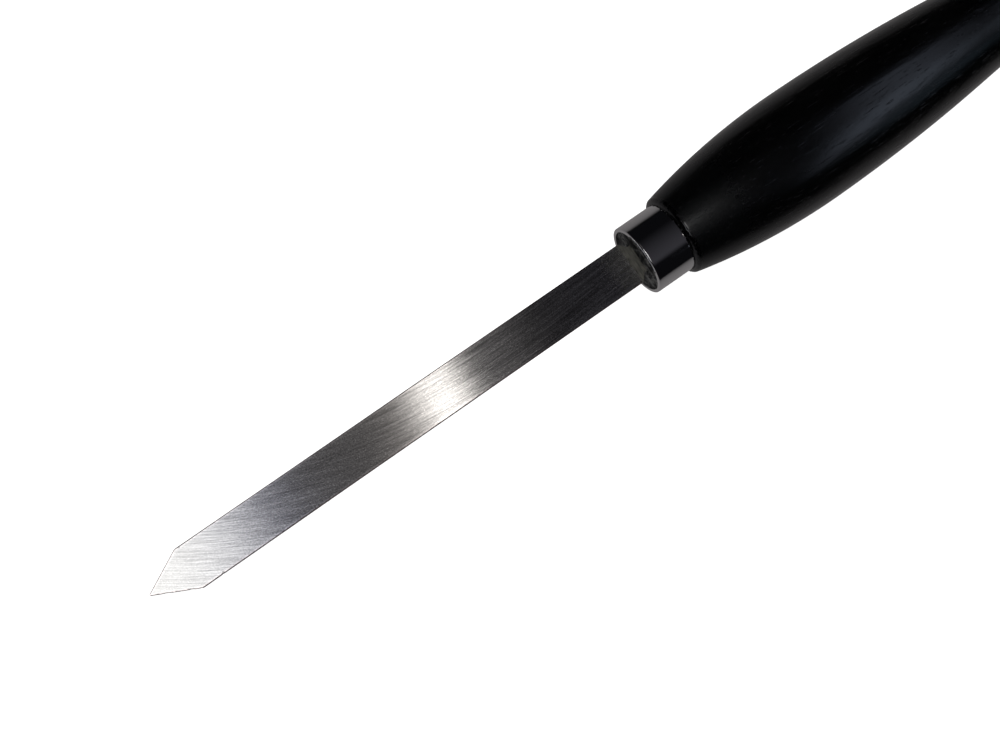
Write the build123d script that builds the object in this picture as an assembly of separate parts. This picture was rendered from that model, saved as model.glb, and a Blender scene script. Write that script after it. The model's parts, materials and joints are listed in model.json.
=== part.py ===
from build123d import *
from math import acos, asin, atan2, cos, degrees, hypot, radians, tan
import os

# A woodturner's parting tool: a flat high speed steel blade with a ground point,
# a plated steel ferrule and a turned black handle.
# All sizes are in millimetres. The tool is drawn along X with the point towards +X,
# the flats facing up and down, and x = 0 at the front edge of the ferrule.

# Blade
blade_width = 12.7
blade_thickness = 3.2
blade_reach = 160.5
point_angle = 53.6
point_land = 0.3
blade_arris = 0.35

# Tang, which is the part of the blade inside the handle
neck_width = 8.6
neck_length = 0.8
neck_slant = 1.7
tang_depth = 66.0
tang_end_width = 5.6
tang_clearance = 0.05

# Ferrule
ferrule_diameter = 21.4
ferrule_wall = 1.15
ferrule_length = 12.4
lip_round = 1.0
lip_inner_break = 0.1
ferrule_rear_break = 0.3

# Tenon, which is the part of the handle inside the ferrule
tenon_clearance = 0.02
tenon_recess = 0.5
tenon_chamfer = 0.3

# Handle, with each place measured back from the rear edge of the ferrule
shoulder_diameter = 24.2
shoulder_round = 1.6
belly_diameter = 35.4
belly_place = 48.4
waist_diameter = 24.9
waist_place = 150.0
waist_turn = 0.585
butt_diameter = 28.4
butt_place = 202.0
butt_turn = 0.5

# Rest, where the angles are worked out to within this many radians
rest_tolerance = 1e-9

# Worked out from the sizes above
half_point = radians(point_angle / 2)
blade_half = blade_width / 2
point_length = (blade_half - point_land / 2) / tan(half_point)
wood_face = -tenon_recess
neck_front = wood_face + neck_length
tang_end = wood_face - tang_depth
bore_radius = ferrule_diameter / 2 - ferrule_wall
shoulder_face = -ferrule_length


def blade_outline():
    """Half of the blade and its tang, seen from above, mirrored into the whole."""
    half = Polyline(
        (blade_reach, 0),
        (blade_reach, point_land / 2),
        (blade_reach - point_length, blade_half),
        (neck_front + neck_slant, blade_half),
        (neck_front, neck_width / 2),
        (tang_end, tang_end_width / 2),
        (tang_end, 0),
        close=True,
    )
    face = make_face(half)
    return face + mirror(face, Plane.XZ)


def make_blade():
    """A flat bar with its point ground across the width and its long edges eased."""
    bar = extrude(blade_outline(), blade_thickness / 2, both=True)
    long_edges = bar.edges().filter_by(Axis.X).sort_by(lambda edge: abs(edge.center().Y))[-4:]
    return chamfer(long_edges, blade_arris)


def make_ferrule():
    """A short tube with a rolled front lip and a broken rear edge."""
    outer = ferrule_diameter / 2
    wall = make_face(Polyline(
        (0, bore_radius),
        (0, outer),
        (shoulder_face, outer),
        (shoulder_face, bore_radius),
        close=True,
    ))
    front_outer = wall.vertices().group_by(Axis.X)[-1].sort_by(Axis.Y)[-1]
    wall = fillet(front_outer, min(lip_round, ferrule_wall - 2 * lip_inner_break))
    front_inner = wall.vertices().group_by(Axis.Y)[0].sort_by(Axis.X)[-1]
    wall = chamfer(front_inner, lip_inner_break)
    rear_outer = wall.vertices().group_by(Axis.X)[0].sort_by(Axis.Y)[-1]
    wall = chamfer(rear_outer, ferrule_rear_break)
    return revolve(wall, Axis.X)


def tang_slot():
    """The slot that the tang is driven into."""
    neck = neck_width / 2 + tang_clearance
    end = tang_end_width / 2 + tang_clearance
    depth = tang_end - tang_clearance
    outline = make_face(Polyline(
        (wood_face, -neck),
        (wood_face, neck),
        (depth, end),
        (depth, -end),
        close=True,
    ))
    return extrude(outline, blade_thickness / 2 + tang_clearance, both=True)


def halves(curve):
    """The curve as two equal lengths, so that no turned face is very long."""
    return [curve.trim(0, 0.5), curve.trim(0.5, 1)]


def s_curve(front, rear, turn):
    """Two arcs that leave front and reach rear along the axis; turn is where they meet."""
    meeting = front + (rear - front) * turn
    leaving = TangentArc(front, meeting, tangent=(-1, 0))
    arriving = TangentArc(rear, meeting, tangent=(1, 0))
    return [*halves(leaving), arriving]


def make_handle():
    """The turned profile swept round the axis: tenon, shoulder, belly, waist and butt."""
    tenon = bore_radius - tenon_clearance
    shoulder = Vector(shoulder_face, shoulder_diameter / 2)
    belly = Vector(shoulder_face - belly_place, belly_diameter / 2)
    waist = Vector(shoulder_face - waist_place, waist_diameter / 2)
    butt = Vector(shoulder_face - butt_place, butt_diameter / 2)
    front = Polyline(
        (wood_face, 0),
        (wood_face, tenon - tenon_chamfer),
        (wood_face - tenon_chamfer, tenon),
        (shoulder_face, tenon),
        shoulder,
    )
    swell = TangentArc(belly, shoulder, tangent=(1, 0))
    grip = s_curve(belly, waist, waist_turn)
    flare = s_curve(waist, butt, butt_turn)
    end = TangentArc(butt, (butt.X - butt.Y, 0), tangent=(-1, 0))
    axis = Line(end @ 1, (wood_face, 0))
    outline = make_face([front, *halves(swell), *grip, *flare, end, axis])
    corner = outline.vertices().sort_by_distance((shoulder.X, shoulder.Y))[0]
    outline = fillet(corner, shoulder_round)
    return revolve(outline, Axis.X) - tang_slot()


def rest_angles():
    """How the tool lies: the belly and one ground edge of the point touch the bench.

    The swell in front of the belly is an arc, so its lowest point is known at any pitch.
    Returns the pitch, point down, and the roll about the tool's own axis, in radians.
    """
    rise = (belly_diameter - shoulder_diameter) / 2
    swell_radius = (belly_place**2 + rise**2) / (2 * rise)
    sharp_point = blade_reach + point_land / 2 / tan(half_point)
    ahead = sharp_point - (shoulder_face - belly_place)
    roll = 0.0
    change = 1.0
    while change > rest_tolerance:
        below = swell_radius - belly_diameter / 2 + blade_thickness / 2 * cos(roll)
        pitch = atan2(ahead, below) - acos(swell_radius / hypot(ahead, below))
        new_roll = asin(tan(pitch) / tan(half_point))
        change = abs(new_roll - roll)
        roll = new_roll
    return pitch, roll


def lay_down(pieces):
    """Turn the pieces as the tool lies, with the bench at z = 0 under their middle."""
    pitch, roll = rest_angles()
    turn = Rotation(0, degrees(pitch), 0) * Rotation(degrees(-roll), 0, 0)
    turned = {name: turn * piece for name, piece in pieces.items()}
    box = Compound(list(turned.values())).bounding_box()
    middle = box.center()
    place = Pos(-middle.X, -middle.Y, -box.min.Z)
    return {name: place * piece for name, piece in turned.items()}


def main():
    os.makedirs("parts", exist_ok=True)
    pieces = {
        "blade": make_blade(),
        "ferrule": make_ferrule(),
        "handle": make_handle(),
    }
    for name, piece in lay_down(pieces).items():
        export_step(piece, f"parts/{name}.step")


main()
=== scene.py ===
import json
import math
import bpy
from mathutils import Matrix, Vector, noise


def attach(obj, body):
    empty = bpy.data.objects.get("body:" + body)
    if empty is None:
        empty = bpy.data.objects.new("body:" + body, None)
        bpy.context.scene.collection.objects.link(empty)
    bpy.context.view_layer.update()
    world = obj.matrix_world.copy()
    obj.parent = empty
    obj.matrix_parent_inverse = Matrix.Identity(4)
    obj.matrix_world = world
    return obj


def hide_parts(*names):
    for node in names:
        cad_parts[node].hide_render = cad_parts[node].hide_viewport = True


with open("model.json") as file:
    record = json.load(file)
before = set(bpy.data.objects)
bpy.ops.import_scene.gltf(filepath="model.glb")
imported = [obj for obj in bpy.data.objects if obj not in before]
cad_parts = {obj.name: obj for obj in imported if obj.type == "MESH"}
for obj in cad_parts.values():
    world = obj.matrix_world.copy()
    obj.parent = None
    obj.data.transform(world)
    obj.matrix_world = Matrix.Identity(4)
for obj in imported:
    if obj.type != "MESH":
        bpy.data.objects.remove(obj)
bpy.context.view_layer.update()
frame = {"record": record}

# A woodturner's parting tool, dressed for the photograph.
# Each piece is drawn along X with the point towards +X, the flats facing up and down and x = 0 at
# the front edge of the ferrule, and is then laid as the CAD lies. Sizes of shapes are in metres.
# Sizes and places in the materials are in millimetres in the same axes, which each mesh carries
# as the attribute "drawn".
MM = 0.001

# Blade, as the CAD has it
BLADE_WIDTH = 12.7 * MM
BLADE_THICKNESS = 3.2 * MM
BLADE_REACH = 160.5 * MM
POINT_ANGLE = math.radians(53.6)
POINT_LAND = 0.3 * MM
NECK_WIDTH = 8.6 * MM
NECK_LENGTH = 0.8 * MM
NECK_SLANT = 1.7 * MM
TANG_DEPTH = 66.0 * MM
TANG_END_WIDTH = 5.6 * MM

# Blade, as this one was made: a little off the axis, with its point ground a little askew
BLADE_SHIFT = -0.38 * MM
POINT_SKEW = 0.5 * MM

# Nicks in its edges: place along it, side, length and depth, in millimetres but for the side
NICKS = (
    (156.8, 1, 2.4, 0.10),
    (150.9, 1, 1.3, 0.14),
    (148.6, 1, 0.6, 0.10),
    (142.0, 1, 0.5, 0.13),
)

# Arrises of the blade, finer round the ground point. Each limit is a share of the half width.
BLADE_ARRIS = 0.25 * MM
GROUND_ARRIS = 0.17 * MM
ARRIS_LIMIT = 0.6
ARRIS_WAVER = 0.12
WAVER_LENGTH = 1.3 * MM
WAVER_PATTERN = 7
# A strip of each flat beside its arris that keeps the shading of the flat level
ARRIS_SUPPORT = 0.08 * MM
SUPPORT_LIMIT = 0.3

# Grinding lines of the blade: their sideways slope at the ferrule, how much it falls by up to
# the point, and how much more closely the strokes follow each other there
BRUSH_ROOT = 0.06
BRUSH_TIP = 0.86
STROKE_CROWDING = 2.0
# How far below the flat the colour of the narrow sides is reached
EDGE_TINT_DEPTH = 0.05 * MM

# Ferrule, as the CAD has it
FERRULE_DIAMETER = 21.4 * MM
FERRULE_WALL = 1.15 * MM
FERRULE_LENGTH = 12.4 * MM
LIP_ROUND = 0.95 * MM
LIP_INNER_BREAK = 0.1 * MM
FERRULE_REAR_BREAK = 0.3 * MM

# Ferrule, as this one was made: a sharper lip, and burrs on the sawn rear edge. The burrs stand
# out to the rear, and lift the wall in front of them or let it dip.
LIP_EDGE = 0.45 * MM
BURR_SIZE = 0.45 * MM
REAR_BURR = 0.12 * MM
REAR_BURR_MIDDLE = 0.5
REAR_BURR_PATTERN = Vector((9, 0, 0))
BURR_REACH = 0.7 * MM
BURR_HEIGHT = 0.4 * MM
BURR_DIP = -0.2
BURR_PATTERN = 9.7

# Handle, as the CAD has it, with each place measured back from the rear edge of the ferrule
TENON_CLEARANCE = 0.02 * MM
TENON_CHAMFER = 0.3 * MM
WOOD_RECESS = 0.5 * MM
SHOULDER_DIAMETER = 24.2 * MM
SHOULDER_ROUND = 1.6 * MM
BELLY_DIAMETER = 35.4 * MM
BELLY_PLACE = 48.4 * MM
WAIST_DIAMETER = 24.9 * MM
WAIST_PLACE = 150.0 * MM
WAIST_TURN = 0.585
BUTT_DIAMETER = 28.4 * MM
BUTT_PLACE = 202.0 * MM
BUTT_TURN = 0.5

# Torn end grain inside the ferrule: its depth, and the pattern, size and share of two tears
END_GRAIN_DEPTH = 0.3 * MM
END_GRAIN_MIDDLE = 0.5
TEARS = ((0, 1.1 * MM, 0.6), (5, 0.45 * MM, 0.4))

# Lacquer on the shoulder's corner: a fine ring round the ferrule, and beads behind it
RING_WIDTH = 0.4 * MM
RING_HEIGHT = 0.12 * MM
BEAD_WIDTH = 1.05 * MM
BEAD_HEIGHT = 0.1 * MM
BEAD_SIZE = 0.65 * MM

# How finely the shapes are drawn: the steps along each stretch, and round the tool
TANG_STEPS = 20
NECK_STEPS = 6
BAR_STEPS = 480
POINT_STEPS = 80
FLAT_STEPS = 4
ARRIS_STEPS = 4
LIP_STEPS = 8
BURRED_STEPS = 6
WALL_STEPS = 12
BORE_STEPS = 8
FERRULE_AROUND = 320
FACE_STEPS = 30
TENON_STEPS = 8
SHOULDER_STEPS = 40
SWELL_STEPS = 48
BELLY_STEPS = 56
WAIST_STEPS = 40
FLARE_STEPS = 20
BUTT_STEPS = 24
HANDLE_AROUND = 256
# An edge that turns by more than this is drawn sharp
BLADE_SHARP = math.radians(30)
FERRULE_SHARP = math.radians(25)
HANDLE_SHARP = math.radians(35)
# Lengths below this count as none
NOTHING = 1e-7
FACE_TOLERANCE = 1e-6

# Worked out from the sizes above
POINT_LENGTH = (BLADE_WIDTH - POINT_LAND) / 2 / math.tan(POINT_ANGLE / 2)
POINT_START = BLADE_REACH - POINT_LENGTH
NECK_FRONT = NECK_LENGTH - WOOD_RECESS
BAR_START = NECK_FRONT + NECK_SLANT
TANG_END = -WOOD_RECESS - TANG_DEPTH
FERRULE_REAR = -FERRULE_LENGTH

# How the tool lies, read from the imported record
mounts = {mount["name"]: mount for mount in frame["record"]["mounts"]}
seat = mounts["ferrule_seat"]
along = Vector(seat["axis"]).normalized()
sideways = Vector(mounts["rest_edge"]["axis"]).normalized()
upwards = along.cross(sideways)
seat_front = seat["dims"]["length_mm"] / 2 * MM + LIP_ROUND
front_of_ferrule = Vector(seat["pos_m"]) + along * seat_front
tool_axes = Matrix((along, sideways, upwards)).transposed().to_4x4()
LAID = Matrix.Translation(front_of_ferrule) @ tool_axes

# Camera, measured from the photograph in the tool's own axes, and how near and far it sees
CAMERA_PLACE = Vector((131.14, 24.94, 414.68)) * MM
CAMERA_AIM = Vector((50.80, 4.28, 1.6)) * MM
CAMERA_UP = Vector((-0.5597, -0.8151, 0.1496))
CAMERA_LENS = 55.44
CAMERA_SENSOR = 36.0
CAMERA_SEES = (0.01, 50)


def make_camera():
    data = bpy.data.cameras.new("camera")
    data.lens = CAMERA_LENS
    data.sensor_width = CAMERA_SENSOR
    data.sensor_fit = "HORIZONTAL"
    data.clip_start, data.clip_end = CAMERA_SEES
    camera = bpy.data.objects.new("camera", data)
    bpy.context.scene.collection.objects.link(camera)
    back = (CAMERA_PLACE - CAMERA_AIM).normalized()
    right = CAMERA_UP.cross(back).normalized()
    up = back.cross(right)
    turn = Matrix((right, up, back)).transposed().to_4x4()
    camera.matrix_world = LAID @ Matrix.Translation(CAMERA_PLACE) @ turn
    bpy.context.scene.camera = camera


# Mesh helpers

def steps(first, last, count):
    """Evenly spaced values from first to last, both included."""
    return [first + (last - first) * index / count for index in range(count + 1)]


def keep(mesh, name, kind, values):
    """Stores one number, or one vector, for each point of the mesh."""
    attribute = mesh.attributes.new(name, kind, "POINT")
    attribute.data.foreach_set("vector" if kind == "FLOAT_VECTOR" else "value", values)


def faces_of_rings(rings):
    """Faces that join each ring of points to the next and close both ends."""
    faces = []
    start = 0
    for ring, following in zip(rings, rings[1:]):
        after = start + len(ring)
        around = max(len(ring), len(following))
        for index in range(around):
            turn = (index + 1) % around
            a = start if len(ring) == 1 else start + index
            b = start if len(ring) == 1 else start + turn
            c = after if len(following) == 1 else after + turn
            d = after if len(following) == 1 else after + index
            faces.append(list(dict.fromkeys((a, b, c, d))))
        start = after
    if len(rings[0]) > 1:
        faces.append(list(reversed(range(len(rings[0])))))
    if len(rings[-1]) > 1:
        faces.append(list(range(start, start + len(rings[-1]))))
    return faces


def body_from_rings(name, rings, sharp_angle):
    """A closed piece from rings of points along it; a ring of one point is a closed end."""
    points = [point for ring in rings for point in ring]
    mesh = bpy.data.meshes.new(name)
    mesh.from_pydata([LAID @ point for point in points], [], faces_of_rings(rings))
    keep(mesh, "drawn", "FLOAT_VECTOR", [value / MM for point in points for value in point])
    mesh.shade_smooth()
    mesh.set_sharp_from_angle(angle=sharp_angle)
    mesh.validate()
    piece = bpy.data.objects.new(name, mesh)
    bpy.context.scene.collection.objects.link(piece)
    return piece


def turned_rings(profile, around):
    """Rings about X from a profile of (x, radius); a radius of 0 is a single point."""
    rings = []
    for x, radius in profile:
        if radius < NOTHING:
            rings.append([Vector((x, 0, 0))])
            continue
        angles = [2 * math.pi * index / around for index in range(around)]
        rings.append([Vector((x, radius * math.cos(a), radius * math.sin(a))) for a in angles])
    return rings


def level_arc(level, end, count):
    """Points of the arc that is parallel to the axis at level and finishes at end."""
    rise = end[1] - level[1]
    run = end[0] - level[0]
    radius = (run * run + rise * rise) / (2 * rise)
    sweep = math.atan2(abs(run), abs(radius - rise))
    if abs(rise) > abs(radius):
        sweep = math.pi - sweep
    side = math.copysign(1.0, run)
    return [
        (level[0] + side * abs(radius) * math.sin(sweep * share),
         level[1] + radius * (1 - math.cos(sweep * share)))
        for share in steps(0.0, 1.0, count)
    ]


# Blade

def half_width(x, side):
    """Half of the blade's width at x, from the tang to the point, on the side of +Y or -Y."""
    half = BLADE_WIDTH / 2
    neck = NECK_WIDTH / 2
    start = POINT_START + (POINT_SKEW if side < 0 else 0.0)
    if x > start:
        return half - (x - start) / (BLADE_REACH - start) * (half - POINT_LAND / 2)
    if x > BAR_START:
        return half
    if x > NECK_FRONT:
        return neck + (x - NECK_FRONT) / NECK_SLANT * (half - neck)
    return neck + (NECK_FRONT - x) / (NECK_FRONT - TANG_END) * (TANG_END_WIDTH / 2 - neck)


def nick_depth(x, side):
    """How far the nicks take the edge in at x, on the side of +Y or -Y."""
    depth = 0.0
    for place_along, nick_side, length, deepest in NICKS:
        away = abs(x / MM - place_along) / (length / 2)
        if nick_side == side and away < 1:
            depth += deepest * MM * (1 - away**2)
    return depth


def blade_side(x, side):
    """One side of a cross section, from the middle of the upper flat to that of the lower."""
    width = half_width(x, side)
    width -= min(nick_depth(x, side), width / 2)
    arris = min(GROUND_ARRIS if x > POINT_START else BLADE_ARRIS, width * ARRIS_LIMIT)
    waver = noise.noise(Vector((x / WAVER_LENGTH, side, WAVER_PATTERN)))
    arris *= 1 + ARRIS_WAVER * waver
    thick = BLADE_THICKNESS / 2
    flat = width - arris - min(ARRIS_SUPPORT, (width - arris) * SUPPORT_LIMIT)
    quarter = [(y, thick) for y in steps(0.0, flat, FLAT_STEPS)[1:]]
    for angle in steps(math.pi / 2, 0.0, ARRIS_STEPS):
        across = width - arris + arris * math.cos(angle)
        quarter.append((across, thick - arris + arris * math.sin(angle)))
    lower = [(y, -z) for y, z in reversed(quarter)]
    return [(0.0, thick), *quarter, (width, 0.0), *lower]


def blade_ring(x):
    """One cross section: flats above and below, narrow edges, and rounded arrises between."""
    right = blade_side(x, 1)
    left = [(-y, -z) for y, z in blade_side(x, -1)]
    return [Vector((x, y + BLADE_SHIFT, z)) for y, z in right + left]


def make_blade():
    stations = steps(TANG_END, NECK_FRONT, TANG_STEPS)
    stations += steps(NECK_FRONT, BAR_START, NECK_STEPS)[1:]
    stations += steps(BAR_START, POINT_START, BAR_STEPS)[1:]
    stations += steps(POINT_START, BLADE_REACH, POINT_STEPS)[1:]
    return body_from_rings("blade_bar", [blade_ring(x) for x in stations], BLADE_SHARP)


def brush_line(x):
    """Sideways place at x of the grinding line that starts on the axis, in millimetres."""
    reach = BLADE_REACH / MM
    return BRUSH_ROOT * x - BRUSH_TIP * x**3 / (3 * reach**2)


def brush_slope(x):
    """Slope of that line at x."""
    reach = BLADE_REACH / MM
    return BRUSH_ROOT - BRUSH_TIP * (x / reach) ** 2


def brush_blade(blade):
    """Stores what the blade's material needs to know of each point.

    brushed: its place along and across the grinding lines, closer together near the point.
    spread: the way the sheen spreads, which is square to the lines.
    margin: how far it is in from the narrow side, in millimetres.
    side: how far it is from the flat to the narrow side, from 0 to 1.
    """
    mesh = blade.data
    turn = LAID.to_3x3()
    thick = BLADE_THICKNESS / 2 / MM
    places = []
    spreads = []
    margins = []
    sides = []
    for point in mesh.attributes["drawn"].data:
        x, y, z = point.vector
        crowded = x + STROKE_CROWDING * x**4 / (4 * (BLADE_REACH / MM) ** 3)
        places += [crowded, y - brush_line(x), z]
        spreads += list((turn @ Vector((-brush_slope(x), 1.0, 0.0))).normalized())
        middle = y - BLADE_SHIFT / MM
        margins.append(half_width(x * MM, math.copysign(1, middle)) / MM - abs(middle))
        sides.append(min((thick - abs(z)) / (EDGE_TINT_DEPTH / MM), 1.0))
    keep(mesh, "brushed", "FLOAT_VECTOR", places)
    keep(mesh, "spread", "FLOAT_VECTOR", spreads)
    keep(mesh, "margin", "FLOAT", margins)
    keep(mesh, "side", "FLOAT", sides)


# Ferrule

def roughen(rings):
    """Burrs on the sawn rear edge, which also lift the wall a little just in front of it."""
    for ring in rings:
        for point in ring:
            place = point / BURR_SIZE
            share = max(0.0, 1 - (point.x - FERRULE_REAR) / BURR_REACH)
            around = Vector((BURR_PATTERN, place.y, place.z))
            ripple = BURR_HEIGHT * max(BURR_DIP, noise.noise(around)) * share**2
            if point.x < FERRULE_REAR + FERRULE_REAR_BREAK:
                uneven = noise.noise(place + REAR_BURR_PATTERN)
                point.x += REAR_BURR * (REAR_BURR_MIDDLE + uneven)
            point.yz *= 1 + ripple / point.yz.length


def make_ferrule():
    outer = FERRULE_DIAMETER / 2
    inner = outer - FERRULE_WALL
    rear = FERRULE_REAR
    half_break = FERRULE_REAR_BREAK / 2
    lip = [
        (-LIP_EDGE + LIP_EDGE * math.sin(angle), outer - LIP_EDGE + LIP_EDGE * math.cos(angle))
        for angle in steps(0.0, math.pi / 2, LIP_STEPS)
    ]
    burred = [(rear, outer - FERRULE_REAR_BREAK), (rear + half_break, outer - half_break)]
    lifted = steps(rear + FERRULE_REAR_BREAK, rear + BURR_REACH, BURRED_STEPS)[:-1]
    burred += [(x, outer) for x in lifted]
    wall = [(x, outer) for x in steps(rear + BURR_REACH, -LIP_EDGE, WALL_STEPS)[:-1]]
    mouth = [(0, inner + LIP_INNER_BREAK), (-LIP_INNER_BREAK, inner)]
    bore = [(x, inner) for x in steps(-LIP_INNER_BREAK, rear, BORE_STEPS)[1:]]
    rings = turned_rings(burred + wall + lip + mouth + bore, FERRULE_AROUND)
    roughen(rings[:len(burred)])
    rings.append(rings[0])
    return body_from_rings("ferrule_tube", rings, FERRULE_SHARP)


# Handle

def shoulder_profile(front, belly):
    """The rounded shoulder and the swell behind it, from the ferrule to the belly."""
    rise = belly[1] - front[1]
    run = front[0] - belly[0]
    swell_radius = (run * run + rise * rise) / (2 * rise)
    swell_centre = Vector((belly[0], belly[1] - swell_radius))
    round_x = front[0] - SHOULDER_ROUND
    reach = swell_radius - SHOULDER_ROUND
    round_y = swell_centre.y + math.sqrt(reach**2 - (round_x - swell_centre.x) ** 2)
    centre = Vector((round_x, round_y))
    outward = (centre - swell_centre).normalized()
    last = math.atan2(outward.y, outward.x)
    corner = [
        (centre.x + SHOULDER_ROUND * math.cos(a), centre.y + SHOULDER_ROUND * math.sin(a))
        for a in steps(0.0, last, SHOULDER_STEPS)
    ]
    swell = [
        (swell_centre.x + swell_radius * math.cos(a), swell_centre.y + swell_radius * math.sin(a))
        for a in steps(last, math.pi / 2, SWELL_STEPS)
    ]
    return corner + swell[1:]


def handle_profile():
    """The turned outline from the end grain inside the ferrule to the end of the butt."""
    tenon = FERRULE_DIAMETER / 2 - FERRULE_WALL - TENON_CLEARANCE
    shoulder = FERRULE_REAR
    belly = (shoulder - BELLY_PLACE, BELLY_DIAMETER / 2)
    waist = (shoulder - WAIST_PLACE, WAIST_DIAMETER / 2)
    butt = (shoulder - BUTT_PLACE, BUTT_DIAMETER / 2)
    grip_turn = tuple(a + (b - a) * WAIST_TURN for a, b in zip(belly, waist))
    flare_turn = tuple(a + (b - a) * BUTT_TURN for a, b in zip(waist, butt))
    profile = [(-WOOD_RECESS, radius) for radius in steps(0.0, tenon - TENON_CHAMFER, FACE_STEPS)]
    profile += [(x, tenon) for x in steps(-WOOD_RECESS - TENON_CHAMFER, shoulder, TENON_STEPS)]
    profile += shoulder_profile((shoulder, SHOULDER_DIAMETER / 2), belly)
    profile += level_arc(belly, grip_turn, BELLY_STEPS)[1:]
    profile += level_arc(waist, grip_turn, WAIST_STEPS)[-2::-1]
    profile += level_arc(waist, flare_turn, FLARE_STEPS)[1:]
    profile += level_arc(butt, flare_turn, FLARE_STEPS)[-2::-1]
    profile += [
        (butt[0] - butt[1] * math.sin(a), butt[1] * math.cos(a))
        for a in steps(0.0, math.pi / 2, BUTT_STEPS)[1:-1]
    ]
    profile.append((butt[0] - butt[1], 0.0))
    return profile


def tear_end_grain(rings):
    """Roughens the end grain inside the ferrule, nearly all of it inwards."""
    for ring in rings:
        for point in ring:
            if point.x > -WOOD_RECESS - FACE_TOLERANCE:
                depth = END_GRAIN_MIDDLE
                for pattern, size, share in TEARS:
                    depth += share * noise.noise(Vector((pattern, point.y, point.z)) / size)
                point.x -= END_GRAIN_DEPTH * depth


def bead_shoulder(rings):
    """Lacquer on the corner that meets the ferrule: a fine ring, and uneven beads behind it."""
    ring_middle = FERRULE_DIAMETER / 2 + RING_WIDTH / 2
    for ring in rings:
        for point in ring:
            radius = point.yz.length
            behind = FERRULE_REAR - point.x
            if radius > FERRULE_DIAMETER / 2 and 0 < behind < BEAD_WIDTH:
                uneven = noise.noise(point / BEAD_SIZE)
                height = BEAD_HEIGHT * uneven * math.sin(math.pi * behind / BEAD_WIDTH)
                away = (radius - ring_middle) / (RING_WIDTH / 2)
                point.yz *= 1 + height / radius
                point.x += RING_HEIGHT * (1 + uneven) * max(0.0, 1 - away**2)


def make_handle():
    rings = turned_rings(handle_profile(), HANDLE_AROUND)
    tear_end_grain(rings)
    bead_shoulder(rings)
    return body_from_rings("handle_turning", rings, HANDLE_SHARP)


# Material helpers

class Shader:
    """Short names for building a material's nodes."""

    def __init__(self, name):
        self.material = bpy.data.materials.new(name)
        self.material.use_nodes = True
        self.tree = self.material.node_tree
        self.surface = self.tree.nodes["Principled BSDF"]

    def node(self, kind, **values):
        made = self.tree.nodes.new("ShaderNode" + kind)
        for key, value in values.items():
            setattr(made, key, value)
        return made

    def put(self, socket, value):
        """Links the value to the socket, or sets it there when it is a plain one."""
        if isinstance(value, bpy.types.NodeSocket):
            self.tree.links.new(value, socket)
        else:
            socket.default_value = value

    def set(self, name, value):
        self.put(self.surface.inputs[name], value)

    def attribute(self, name, output="Vector"):
        return self.node("Attribute", attribute_name=name).outputs[output]

    def split(self, vector):
        made = self.node("SeparateXYZ")
        self.put(made.inputs[0], vector)
        return made.outputs

    def distance(self, vector, middle):
        made = self.node("VectorMath", operation="DISTANCE")
        self.put(made.inputs[0], vector)
        made.inputs[1].default_value = middle
        return made.outputs["Value"]

    def noise(self, vector, scale, detail=2.0, roughness=0.5, distortion=0.0):
        made = self.node("TexNoise")
        self.put(made.inputs["Vector"], vector)
        made.inputs["Scale"].default_value = scale
        made.inputs["Detail"].default_value = detail
        made.inputs["Roughness"].default_value = roughness
        made.inputs["Distortion"].default_value = distortion
        return made.outputs["Fac"]

    def grain(self, vector, scales, **looks):
        """Noise with a scale of its own along each axis."""
        made = self.node("Mapping")
        self.put(made.inputs["Vector"], vector)
        made.inputs["Scale"].default_value = scales
        return self.noise(made.outputs["Vector"], 1.0, **looks)

    def maths(self, operation, *values):
        made = self.node("Math", operation=operation)
        for socket, value in zip(made.inputs, values):
            self.put(socket, value)
        return made.outputs[0]

    def product(self, first, *others):
        for other in others:
            first = self.maths("MULTIPLY", first, other)
        return first

    def span(self, value, low, high, at_low=0.0, at_high=1.0, kind="LINEAR"):
        """Goes from at_low to at_high while the value goes from low to high, and stays there."""
        made = self.node("MapRange", interpolation_type=kind)
        for socket, item in zip(made.inputs, (value, low, high, at_low, at_high)):
            self.put(socket, item)
        return made.outputs["Result"]

    def colour(self, parts):
        made = self.node("CombineColor")
        for socket, part in zip(made.inputs, parts):
            self.put(socket, part)
        return made.outputs[0]

    def tinted(self, tone, factors):
        """A colour from one tone, with a factor for each of red, green and blue."""
        return self.colour([self.product(tone, factor) for factor in factors])

    def blend(self, share, first, second):
        made = self.node("Mix", data_type="RGBA")
        self.put(made.inputs[0], share)
        self.put(made.inputs[6], first)
        self.put(made.inputs[7], second)
        return made.outputs[2]

    def bump(self, height, distance, strength=1.0, normal=None):
        made = self.node("Bump")
        made.inputs["Strength"].default_value = strength
        made.inputs["Distance"].default_value = distance
        self.put(made.inputs["Height"], height)
        if normal is not None:
            self.put(made.inputs["Normal"], normal)
        return made.outputs["Normal"]

    def spots(self, vector, places, inside):
        """Soft round spots, each with its middle and radius: inside within them, 1 outside."""
        total = 1.0
        for middle, radius in places:
            away = self.distance(vector, middle)
            spot = self.span(away, radius / 2, radius, inside, 1.0, "SMOOTHSTEP")
            total = self.product(spot, total)
        return total

    def cover(self, share, second):
        """Puts another surface over the main one, as far as share says."""
        mix = self.node("MixShader")
        self.put(mix.inputs[0], share)
        self.put(mix.inputs[1], self.surface.outputs[0])
        self.put(mix.inputs[2], second.outputs[0])
        self.put(self.tree.nodes["Material Output"].inputs["Surface"], mix.outputs[0])


# In the materials below, four numbers in a row say how something changes: from the first place or
# level to the second, it goes from the third value to the fourth. A scale is in waves for each
# millimetre, one for all ways, or one each along, across and through the tool.

# The middle of what a noise gives
NOISE_MIDDLE = 0.5

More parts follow.
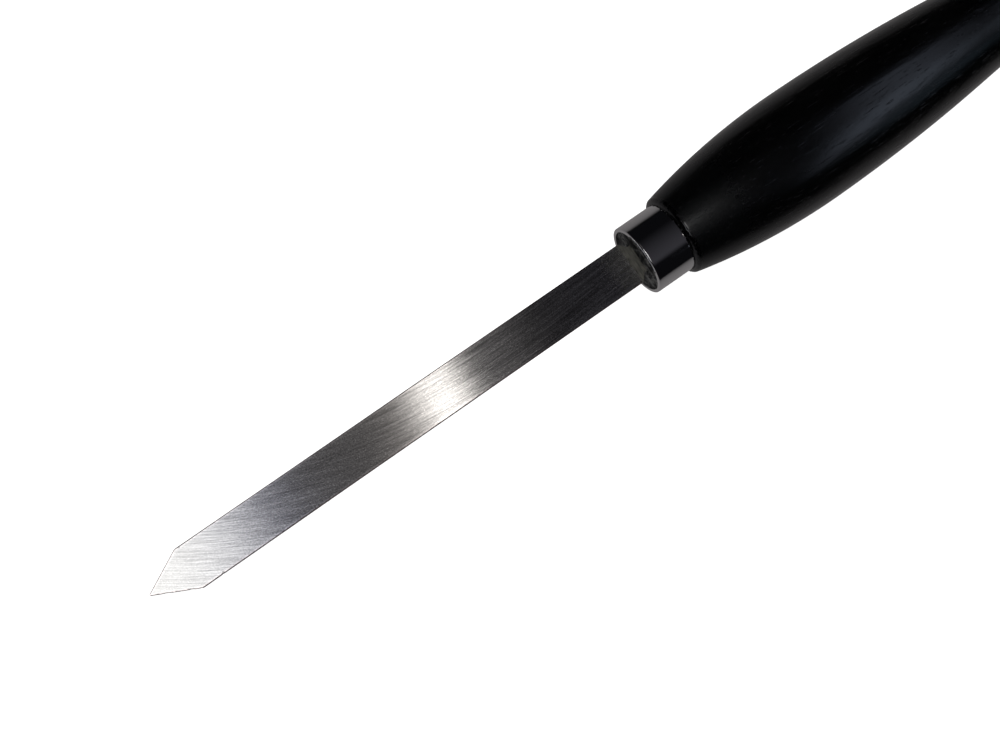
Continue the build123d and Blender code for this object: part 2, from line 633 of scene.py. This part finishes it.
# Blade steel: its grinding marks, and how strongly they and the fine speckle show along it. In
# the dull stretch of its middle, the speckle shows more and the marks less.
HAIR_SCALES = (0.06, 4.0, 1.0)
HAIR_SHARE = 0.5
STROKE_SCALES = (0.055, 2.0, 1.0)
STROKE_SHARE = 0.5
SPECKLE_SCALE = 3.0
DULL_FROM = (80.0, 96.0, 0.0, 1.0)
DULL_TO = (122.0, 140.0, 1.0, 0.0)
SPECKLE_WEIGHT = (20.0, 75.0, 0.5, 0.24)
DULL_SPECKLE = 0.3
LINE_WEIGHT = 0.75
DULL_LINE_WEIGHT = 0.5
STEEL_TONE = 0.55
CONTRAST = (10.0, 150.0, 2.8, 1.7)
POINT_CONTRAST = (138.0, 158.0, 1.0, 0.6)
STEEL_ROUGHNESS = (0.35, 0.65, 0.15, 0.19)
STEEL_ANISOTROPY = 0.95
GRIND_DEPTH = 0.016 * MM

# Bright flecks, and the bright worn strip along its edges
FLECK_SCALE = 2.4
FLECK_LEVELS = (0.73, 0.80)
FLECK_STRENGTH = (60.0, 130.0, 1.2, 0.1)
WORN = (55.0, 95.0, 1.3, 1.65)
WORN_AT_POINT = (118.0, 138.0, 1.0, 0.8)
WORN_MARGIN = (0.3, 0.8)

# Its colour on the flats, along their edges and on the narrow sides
FLAT_TINT = (1.0, 0.995, 0.99)
SIDE_TINT = (0.38, 0.27, 0.29)
REDDER_EDGE = (0.15, 0.5, 0.9, 1.0)

# Dark spots on the blade: place and radius
STAINS = (
    ((141.7, 5.6, 1.6), 0.5),
    ((147.5, -6.5, 1.6), 0.45),
    ((146.6, -6.7, 1.6), 0.35),
    ((150.3, 5.2, 1.6), 0.4),
)
STAIN_TONE = 0.5

# Painted shadows of the nicks: dark marks along the ground edge on the +Y side. They come in
# between two places along the tool, two places across it and two margins from the edge.
NICK_SHADOW_SCALES = (1.1, 0.0, 0.0)
NICK_SHADOW_LEVELS = (0.46, 0.56, 0.0, 0.45)
NICK_SHADOWS_ALONG = (146.5, 148.5)
NICK_SHADOWS_ACROSS = (0.1, 0.5)
NICK_SHADOWS_MARGIN = (0.5, 0.3)

# Grime and a painted reflection of the end grain on the blade at the ferrule: a ragged band, a
# thin film in front of it, and its colour
RAGGED_SCALE = 0.9
RAGGED = 0.8
DIRT_AND_REFLECTION_BAND = (1.7, 3.4, 1.0, 0.0)
DIRT_AND_REFLECTION_FILM = (2.5, 11.0, 0.38, 0.0)
DIRT_AND_REFLECTION_SCALES = (2.2, 0.5, 0.5)
DIRT_AND_REFLECTION_TONE = (0.3, 0.7, 0.030, 0.088)
DIRT_AND_REFLECTION_TINT = (1.0, 0.97, 0.80)
DIRT_AND_REFLECTION_ROUGHNESS = 0.6
DIRT_AND_REFLECTION_DEPTH = 0.05 * MM


def nick_shadow_marks(shader, drawn, margin):
    """Painted shadows of the nicks: short dark marks along the ground edge on the +Y side, from 1
    beside them to about half.
    """
    x, y, _ = shader.split(drawn)
    dashes = shader.grain(drawn, NICK_SHADOW_SCALES, roughness=0.6)
    share = shader.product(
        shader.span(dashes, *NICK_SHADOW_LEVELS),
        shader.span(x, *NICK_SHADOWS_ALONG),
        shader.span(y, *NICK_SHADOWS_ACROSS),
        shader.span(margin, *NICK_SHADOWS_MARGIN),
    )
    return shader.maths("SUBTRACT", 1.0, share)


def steel_tone(shader, drawn, lines):
    """Brightness of the bare steel: grinding lines, speckle, and flecks here and there."""
    x = shader.split(drawn)[0]
    speckle = shader.noise(drawn, SPECKLE_SCALE, detail=1.0, roughness=0.6)
    flecks = shader.span(shader.noise(drawn, FLECK_SCALE, detail=0.0), *FLECK_LEVELS)
    dull = shader.product(shader.span(x, *DULL_FROM), shader.span(x, *DULL_TO))
    speckle_weight = shader.span(x, *SPECKLE_WEIGHT)
    speckle_weight = shader.maths("MULTIPLY_ADD", dull, DULL_SPECKLE, speckle_weight)
    line_weight = shader.span(dull, 0.0, 1.0, LINE_WEIGHT, DULL_LINE_WEIGHT)
    grain = shader.product(shader.maths("SUBTRACT", speckle, NOISE_MIDDLE), speckle_weight)
    line_height = shader.maths("SUBTRACT", lines, NOISE_MIDDLE)
    grain = shader.maths("MULTIPLY_ADD", line_height, line_weight, grain)
    contrast = shader.product(shader.span(x, *CONTRAST), shader.span(x, *POINT_CONTRAST))
    tone = shader.maths("MULTIPLY_ADD", grain, contrast, STEEL_TONE)
    flecks = shader.product(flecks, shader.span(x, *FLECK_STRENGTH))
    return shader.maths("MULTIPLY_ADD", tone, flecks, tone)


def steel_colour(shader, tone, margin):
    """Grey on the flats, a little redder along their edges, and dark on the narrow sides."""
    side = shader.attribute("side", "Fac")
    redder = shader.product(tone, shader.span(margin, *REDDER_EDGE))
    parts = []
    for part, on_flat, on_side in zip((tone, redder, redder), FLAT_TINT, SIDE_TINT):
        parts.append(shader.product(part, shader.span(side, 0.0, 1.0, on_flat, on_side)))
    return shader.colour(parts)


def blade_material():
    shader = Shader("ground_steel")
    drawn = shader.attribute("drawn")
    brushed = shader.attribute("brushed")
    margin = shader.attribute("margin", "Fac")
    x = shader.split(drawn)[0]
    hair = shader.grain(brushed, HAIR_SCALES, roughness=0.6)
    strokes = shader.grain(brushed, STROKE_SCALES, detail=3.0, roughness=0.7)
    strokes = shader.product(strokes, STROKE_SHARE)
    lines = shader.maths("MULTIPLY_ADD", hair, HAIR_SHARE, strokes)
    worn = shader.product(shader.span(x, *WORN), shader.span(x, *WORN_AT_POINT))
    tone = shader.product(
        steel_tone(shader, drawn, lines),
        shader.span(margin, *WORN_MARGIN, worn, 1.0),
        shader.spots(drawn, STAINS, STAIN_TONE),
        # Painted shadows of the nicks on the +Y ground edge
        nick_shadow_marks(shader, drawn, margin),
    )
    shader.set("Base Color", steel_colour(shader, tone, margin))
    shader.set("Metallic", 1.0)
    shader.set("Roughness", shader.span(lines, *STEEL_ROUGHNESS))
    shader.set("Anisotropic", STEEL_ANISOTROPY)
    shader.set("Tangent", shader.attribute("spread"))
    shader.set("Normal", shader.bump(lines, GRIND_DEPTH))
    # Grime at the root, with the end grain's reflection in the steel painted over it
    cover_root_with_dirt_and_reflection(shader, drawn)
    return shader.material


def cover_root_with_dirt_and_reflection(shader, drawn):
    """Dull grime and a painted reflection of the end grain over the steel where it enters the
    handle, ending in a ragged edge.
    """
    ragged = shader.noise(drawn, RAGGED_SCALE, detail=3.0, roughness=0.6)
    ragged = shader.span(ragged, 0.0, 1.0, -RAGGED, RAGGED)
    edge = shader.maths("ADD", shader.split(drawn)[0], ragged)
    band = shader.span(edge, *DIRT_AND_REFLECTION_BAND, "SMOOTHSTEP")
    film = shader.span(edge, *DIRT_AND_REFLECTION_FILM)
    smears = shader.grain(drawn, DIRT_AND_REFLECTION_SCALES, detail=3.0, roughness=0.6)
    # Olive colour of the cover: grime, and the painted reflection of the end grain
    brown = shader.tinted(shader.span(smears, *DIRT_AND_REFLECTION_TONE), DIRT_AND_REFLECTION_TINT)
    dirt_and_reflection = shader.node("BsdfPrincipled")
    shader.put(dirt_and_reflection.inputs["Base Color"], brown)
    dirt_and_reflection.inputs["Roughness"].default_value = DIRT_AND_REFLECTION_ROUGHNESS
    shader.put(dirt_and_reflection.inputs["Normal"], shader.bump(smears, DIRT_AND_REFLECTION_DEPTH))
    shader.cover(shader.maths("MAXIMUM", band, film), dirt_and_reflection)


# Ferrule plate: its colour and polish, its shallow dents, and the patches of its rear edge that
# the plating has left bare
PLATE_COLOUR = (0.72, 0.72, 0.735, 1.0)
CLOUD_SCALE = 0.35
PLATE_ROUGHNESS = (0.35, 0.65, 0.05, 0.09)
WIDE_DENT_SCALE = 1.1
WIDE_DENT_DEPTH = 0.004 * MM
FINE_DENT_SCALE = 3.6
FINE_DENT_DEPTH = 0.0025 * MM
BARE_COLOUR = (0.10, 0.10, 0.105, 1.0)
BARE_ROUGHNESS = 0.6
BARE_EDGE = (0.05, 0.15)
BARE_SCALE = 1.3
BARE_PATCHES = (0.38, 0.55, 0.25, 1.0)


def ferrule_material():
    shader = Shader("polished_plate")
    drawn = shader.attribute("drawn")
    cloud = shader.noise(drawn, CLOUD_SCALE, detail=3.0, roughness=0.6)
    wide_dents = shader.bump(shader.noise(drawn, WIDE_DENT_SCALE), WIDE_DENT_DEPTH)
    fine_dents = shader.noise(drawn, FINE_DENT_SCALE, detail=1.0)
    shader.set("Base Color", PLATE_COLOUR)
    shader.set("Metallic", 1.0)
    shader.set("Roughness", shader.span(cloud, *PLATE_ROUGHNESS))
    shader.set("Normal", shader.bump(fine_dents, FINE_DENT_DEPTH, normal=wide_dents))
    bare = shader.node("BsdfPrincipled")
    bare.inputs["Base Color"].default_value = BARE_COLOUR
    bare.inputs["Roughness"].default_value = BARE_ROUGHNESS
    patches = shader.span(shader.noise(drawn, BARE_SCALE), *BARE_PATCHES)
    start, end = (FERRULE_REAR / MM + away for away in BARE_EDGE)
    edge = shader.span(shader.split(drawn)[0], start, end, 1.0, 0.0)
    shader.cover(shader.product(edge, patches), bare)
    return shader.material


# Black lacquer of the handle: its open pores, and its waves, which are lower near the shoulder
PORE_SCALES = (0.08, 2.3, 2.3)
PORE_LEVELS = (0.28, 0.41, 0.0, 1.0)
WAVE_SCALES = (0.04, 0.22, 0.22)
WAVE_HEIGHT = (-50.0, -20.0, 1.0, 0.35)
BLACK_TONE = (0.35, 0.65, 0.0001, 0.0006)
BLACK_TINT = (0.95, 1.0, 1.12)
LACQUER_SPECULAR = 0.54
LACQUER_TINT = (0.91, 0.95, 1.0, 1.0)

# Its roughness: less in the pores, uneven with the smears, and how it changes along the tool
PORE_ROUGHNESS = (0.0, 1.0, 0.29, 0.22)
SMEAR_SCALES = (0.05, 0.12, 0.12)
SMEAR_ROUGHNESS = (0.35, 0.65, -0.015, 0.015)
SWELL_ROUGHNESS = (-45.0, -16.0, 0.0, 0.10)
SHOULDER_POLISH = (-14.2, -13.6, 0.0, -0.24)
END_GRAIN_ROUGHNESS = 0.6

# Its bumps: the pores with some fine grain between them, the waves, and the pits
GRAIN_SCALE = 3.4
GRAIN_SHARE = 0.3
PORE_DEPTH = 0.036 * MM
PORE_STRENGTH = 0.8
WAVE_DEPTH = 0.28 * MM
WAVE_STRENGTH = 0.5
PIT_DEPTH = 0.4 * MM

# Pits in the lacquer: place and radius
PITS = (((-29.5, 2.1, 15.2), 0.55), ((-66.1, -8.6, 15.4), 0.3), ((-22.6, -5.2, 13.3), 0.25))

# The bare end grain inside the ferrule, kept very dark: partly black stained wood and partly
# painted shade of the recess, with a band of painted shade above and below the blade
END_GRAIN_FACE = (-1.2, -1.0)
LUMP_SCALE = 0.55
# Tone of the fibres; its dark end is partly painted shade of the recess
FIBRE_AND_SHADE_TONE = (0.44, 0.60, 0.0003, 0.055)
FIBRE_TINT = (1.0, 0.97, 0.92)
# A band of painted shade on the end grain above and below the blade
SHADE_BAND_START = (2.6, 3.4, 0.0, 1.0)
SHADE_BAND_END = (3.8, 4.6, 1.0, 0.0)
SHADE_BAND_TONE = 0.2


def end_grain_colour_and_shade(shader, drawn, z):
    """Pale torn fibres among dark ones, kept dark partly as painted shade of the recess, and a
    band of painted shade above and below the blade.
    """
    lumps = shader.noise(drawn, LUMP_SCALE, detail=3.0, roughness=0.6, distortion=0.6)
    torn = shader.span(lumps, *FIBRE_AND_SHADE_TONE, "SMOOTHSTEP")
    above = shader.maths("ABSOLUTE", z)
    shade_band = shader.product(shader.span(above, *SHADE_BAND_START), shader.span(above, *SHADE_BAND_END))
    torn = shader.product(torn, shader.span(shade_band, 0.0, 1.0, 1.0, SHADE_BAND_TONE))
    return shader.tinted(torn, FIBRE_TINT)


def lacquer_roughness(shader, drawn, x, pore):
    """Satin, duller in front of the belly, and polished at the corner by the ferrule."""
    smears = shader.grain(drawn, SMEAR_SCALES, detail=4.0, roughness=0.65, distortion=1.5)
    rough = shader.maths(
        "ADD", shader.span(pore, *PORE_ROUGHNESS), shader.span(smears, *SMEAR_ROUGHNESS)
    )
    rough = shader.maths("ADD", rough, shader.span(x, *SWELL_ROUGHNESS, "SMOOTHSTEP"))
    return shader.maths("ADD", rough, shader.span(x, *SHOULDER_POLISH, "SMOOTHSTEP"))


def handle_material():
    shader = Shader("black_lacquered_wood")
    drawn = shader.attribute("drawn")
    x, _, z = shader.split(drawn)
    end_grain = shader.span(x, *END_GRAIN_FACE)
    pores = shader.grain(drawn, PORE_SCALES, detail=3.0, roughness=0.65)
    pore = shader.span(pores, *PORE_LEVELS, "SMOOTHSTEP")
    wave = shader.grain(drawn, WAVE_SCALES, detail=3.0, roughness=0.55, distortion=0.8)
    black = shader.tinted(shader.span(wave, *BLACK_TONE), BLACK_TINT)
    # End grain colour, partly painted shade of the recess
    fibre_and_shade = end_grain_colour_and_shade(shader, drawn, z)
    rough = lacquer_roughness(shader, drawn, x, pore)
    shader.set("Base Color", shader.blend(end_grain, black, fibre_and_shade))
    shader.set("Roughness", shader.maths("MULTIPLY_ADD", end_grain, END_GRAIN_ROUGHNESS, rough))
    shader.set("Specular IOR Level", LACQUER_SPECULAR)
    shader.set("Specular Tint", LACQUER_TINT)
    grains = shader.noise(drawn, GRAIN_SCALE, roughness=0.6)
    texture = shader.maths("MULTIPLY_ADD", grains, GRAIN_SHARE, pore)
    ripple = shader.product(wave, shader.span(x, *WAVE_HEIGHT))
    normal = shader.bump(texture, PORE_DEPTH, PORE_STRENGTH)
    normal = shader.bump(ripple, WAVE_DEPTH, WAVE_STRENGTH, normal)
    pits = shader.spots(drawn, PITS, 0.0)
    shader.set("Normal", shader.bump(pits, PIT_DEPTH, normal=normal))
    return shader.material


def place(piece, material, node, slot):
    """Puts the dressed piece in the place of the CAD's solid."""
    piece.data.materials.append(material)
    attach(piece, "root")
    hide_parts(node)


# Studio. The camera sees only the white floor. Mirror images see, in its place, a grey table that
# fades to both sides of the tool, faster under the handle, and a dim room with a lit ceiling.
FLOOR_SIZE = 12.0
FLOOR_WHITE = 0.8
FLOOR_GLOW = 0.75
TABLE_GREY = (0.225, 0.32)
TABLE_TINT = (1.03, 0.985, 0.985, 1.0)
TABLE_CHANGE = (-12 * MM, -60 * MM)
TABLE_FADE = (180 * MM, 100 * MM)
TABLE_LENGTH = 1.6
TABLE_SIDES = (-0.8, 0.2)
TABLE_DEPTH = 17.8 * MM
TABLE_LEAN = math.radians(2.7)
ROOM_SIZE = 14.0
ROOM_COLOUR = (0.0037, 0.0037, 0.0044)
CEILING_HEIGHT = 300 * MM
CEILING_X = (-2.5, 1.5)
CEILING_Y = (-1.6, 1.6)
BLACK = (0, 0, 0, 1.0)
WHITE = (1, 1, 1, 1)

# Soft lights in the ceiling. For each one: the tool's own X and Y in millimetres where it is half
# bright, how far each of those edges fades, and its colour.
CEILING_LIGHTS = {
    "over_the_point": (((138.5, 235), (42, 30)), ((-75, 170), (50, 50)), (2.06, 2.05, 2.00)),
    "blue_of_the_point": (((116, 157), (22, 24)), ((-75, 170), (50, 50)), (0.0, 0.016, 0.130)),
    "beside_the_point": (((-25, 125), (30, 60)), ((-200, 220), (60, 60)), (0.115, 0.110, 0.110)),
    "strip": (((12.2, 30.5), (14, 28)), ((-42, 60), (40, 150)), (3.95, 3.81, 3.65)),
    "beside_the_strip": (((20, 47), (10, 52)), ((-42, 60), (40, 150)), (0.40, 0.365, 0.335)),
    "behind_the_strip": (((-52, 5), (50, 30)), ((-90, 200), (80, 80)), (0.019, 0.018, 0.019)),
    "window": (((-350, -234), (90, 50)), ((-95, 430), (70, 240)), (0.54, 0.58, 0.69)),
    "window_middle": (((-440, -240), (90, 50)), ((90, 290), (50, 80)), (0.33, 0.38, 0.45)),
    "window_far": (((-640, -390), (140, 80)), ((340, 640), (140, 120)), (0.17, 0.23, 0.28)),
    "wall_glow": (((-700, -45), (160, 40)), ((-50, 268), (520, 170)), (0.036, 0.035, 0.040)),
}


def only(thing, *kinds):
    """Lets only these kinds of ray meet the thing."""
    for kind in ("camera", "diffuse", "glossy", "transmission", "shadow", "volume_scatter"):
        setattr(thing, "visible_" + kind, kind in kinds)


def stage_mesh(name, points, faces):
    """Part of the studio, drawn in its own place, which is no part of the tool."""
    mesh = bpy.data.meshes.new(name)
    mesh.from_pydata(points, [], faces)
    thing = bpy.data.objects.new(name, mesh)
    bpy.context.scene.collection.objects.link(thing)
    return thing


def sheet(name, x_range, y_range):
    """A flat rectangle of the studio."""
    x0, x1 = x_range
    y0, y1 = y_range
    return stage_mesh(name, [(x0, y0, 0), (x1, y0, 0), (x1, y1, 0), (x0, y1, 0)], [(0, 1, 2, 3)])


def box(name, size):
    """A cube of the studio, round its own middle."""
    half = size / 2
    corners = [(x, y, z) for x in (-half, half) for y in (-half, half) for z in (-half, half)]
    walls = [(0, 1, 3, 2), (4, 6, 7, 5), (0, 4, 5, 1), (2, 3, 7, 6), (0, 2, 6, 4), (1, 5, 7, 3)]
    return stage_mesh(name, corners, walls)


def paper(name, grey, glow, colour=(1.0, 1.0, 1.0)):
    """A dull surface that also glows by itself."""
    shader = Shader(name)
    shader.set("Base Color", (grey, grey, grey, 1.0))
    shader.set("Roughness", 1.0)
    shader.set("Specular IOR Level", 0.0)
    shader.set("Emission Color", (*colour, 1.0))
    shader.set("Emission Strength", glow)
    return shader.material


def table_paper():
    """Grey that fades away to both sides of the tool, and faster under the handle."""
    shader = Shader("table_paper")
    shader.set("Base Color", BLACK)
    shader.set("Specular IOR Level", 0.0)
    x, y, _ = shader.split(shader.node("TexCoord").outputs["Object"])
    at_blade, at_handle = TABLE_CHANGE
    blade_fade, handle_fade = TABLE_FADE
    blade_grey, handle_grey = TABLE_GREY
    fall = shader.span(x, at_handle, at_blade, -1 / handle_fade, -1 / blade_fade)
    grey = shader.span(x, at_handle, at_blade, handle_grey, blade_grey)
    glow = shader.maths("EXPONENT", shader.product(shader.maths("ABSOLUTE", y), fall))
    shader.set("Emission Color", TABLE_TINT)
    shader.set("Emission Strength", shader.product(glow, grey))
    return shader.material


def make_floor():
    """The pale floor, and the grey table and dim room that only mirror images show."""
    half = FLOOR_SIZE / 2
    floor = sheet("floor", (-half, half), (-half, half))
    floor.data.materials.append(paper("floor_paper", FLOOR_WHITE, FLOOR_GLOW))
    only(floor, "camera", "diffuse", "shadow")
    table = sheet("table", (-TABLE_LENGTH / 2, TABLE_LENGTH / 2), TABLE_SIDES)
    lean = Matrix.Rotation(-TABLE_LEAN, 4, "X")
    table.matrix_world = LAID @ lean @ Matrix.Translation((0, 0, -TABLE_DEPTH))
    table.data.materials.append(table_paper())
    only(table, "glossy")
    room = box("room", ROOM_SIZE)
    room.data.materials.append(paper("room_paint", grey=0.0, glow=1.0, colour=ROOM_COLOUR))
    only(room, "glossy")


def soft_light(shader, place_on_ceiling, x_edges, y_edges):
    """How bright one light is at a place on the ceiling, from 0 outside it to 1 inside."""
    share = 1.0
    for value, (ends, fades) in zip(place_on_ceiling, (x_edges, y_edges)):
        for end, fade in zip(ends, (fades[0], -fades[1])):
            start = (end - fade / 2) * MM
            whole = (end + fade / 2) * MM
            share = shader.product(share, shader.span(value, start, whole, kind="SMOOTHSTEP"))
    return share


def make_ceiling():
    """A dark ceiling with the soft lights in it, added up where they overlap."""
    ceiling = sheet("ceiling", CEILING_X, CEILING_Y)
    ceiling.matrix_world = LAID @ Matrix.Translation((0, 0, CEILING_HEIGHT))
    shader = Shader("ceiling_lights")
    shader.set("Base Color", BLACK)
    shader.set("Specular IOR Level", 0.0)
    place_on_ceiling = shader.split(shader.node("TexCoord").outputs["Object"])
    total = ROOM_COLOUR
    for x_edges, y_edges, colour in CEILING_LIGHTS.values():
        share = soft_light(shader, place_on_ceiling, x_edges, y_edges)
        total = [
            shader.maths("MULTIPLY_ADD", share, part, so_far)
            for part, so_far in zip(colour, total)
        ]
    shader.set("Emission Color", shader.colour(total))
    shader.set("Emission Strength", 1.0)
    ceiling.data.materials.append(shader.material)
    only(ceiling, "glossy")


def light_world():
    """Even white light from all round, which mirror images don't show."""
    world = bpy.data.worlds.new("studio")
    bpy.context.scene.world = world
    world.use_nodes = True
    background = world.node_tree.nodes["Background"]
    background.inputs["Color"].default_value = WHITE
    background.inputs["Strength"].default_value = 1.0
    world.cycles_visibility.glossy = False
    bpy.context.scene.view_settings.view_transform = "Standard"


make_camera()

blade = make_blade()
brush_blade(blade)
place(blade, blade_material(), "blade", "blade_steel")
place(make_ferrule(), ferrule_material(), "ferrule", "ferrule_plate")
place(make_handle(), handle_material(), "handle", "handle_wood")

make_floor()
make_ceiling()
light_world()
